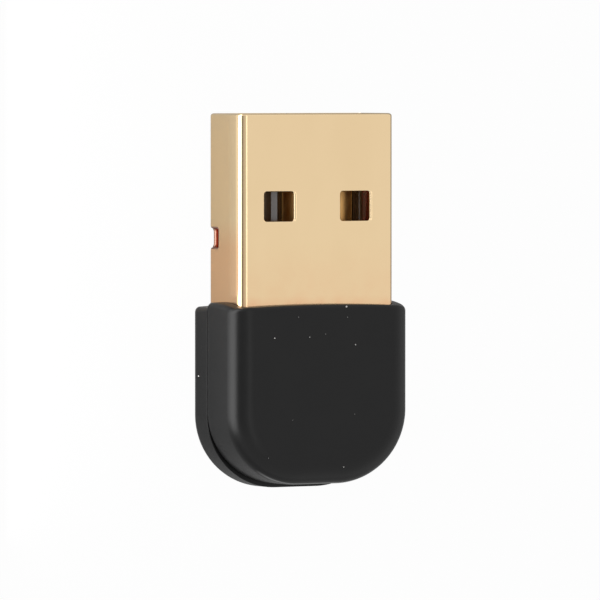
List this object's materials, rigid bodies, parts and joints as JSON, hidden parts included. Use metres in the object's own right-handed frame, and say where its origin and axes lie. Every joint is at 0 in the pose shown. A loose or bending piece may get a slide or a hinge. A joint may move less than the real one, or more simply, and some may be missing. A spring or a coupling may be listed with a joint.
{
  "type": "usb bluetooth adapter",
  "caption": "Very short wireless adapter: a folded metal type A plug on a small black U-shaped plastic casing moulded in two halves.",
  "frame": {"origin": "on the plane of the casing's flat back, under the middle of the whole length and width", "axes": "+Y out of the casing to the plug's tip, +Z the outward normal of the front face, X across the plug"},
  "size_m": [0.0138, 0.025, 0.0061],
  "materials": {
    "plug_gold": "gold-plated steel sheet, satin",
    "contact_gold": "gold-plated strip",
    "casing_black": "fine matt moulding",
    "insulator_black": "smooth moulding",
    "board_green": "solder mask over glass-filled laminate",
    "chip_black": "moulded epoxy",
    "ceramic_tan": "fired ceramic",
    "resistor_black": "coated ceramic",
    "crystal_metal": "welded lid, plain",
    "antenna_copper": "plated copper trace"
  },
  "bodies": {
    "root": {"plug_shell": "plug_gold", "front_cover": "casing_black", "rear_cover": "casing_black", "plug_insulator": "insulator_black", "contact_ground": "contact_gold", "contact_data_plus": "contact_gold", "contact_data_minus": "contact_gold", "contact_power": "contact_gold", "circuit_board": "board_green", "radio_chip": "chip_black", "memory_chip": "chip_black", "voltage_regulator": "chip_black", "crystal": "crystal_metal", "ferrite_bead": "resistor_black", "data_resistor_plus": "resistor_black", "data_resistor_minus": "resistor_black", "input_capacitor": "ceramic_tan", "output_capacitor": "ceramic_tan", "load_capacitor_1": "ceramic_tan", "load_capacitor_2": "ceramic_tan", "decoupling_capacitor_1": "ceramic_tan", "decoupling_capacitor_2": "ceramic_tan", "matching_inductor": "ceramic_tan", "antenna": "antenna_copper"}
  },
  "joints": []
}
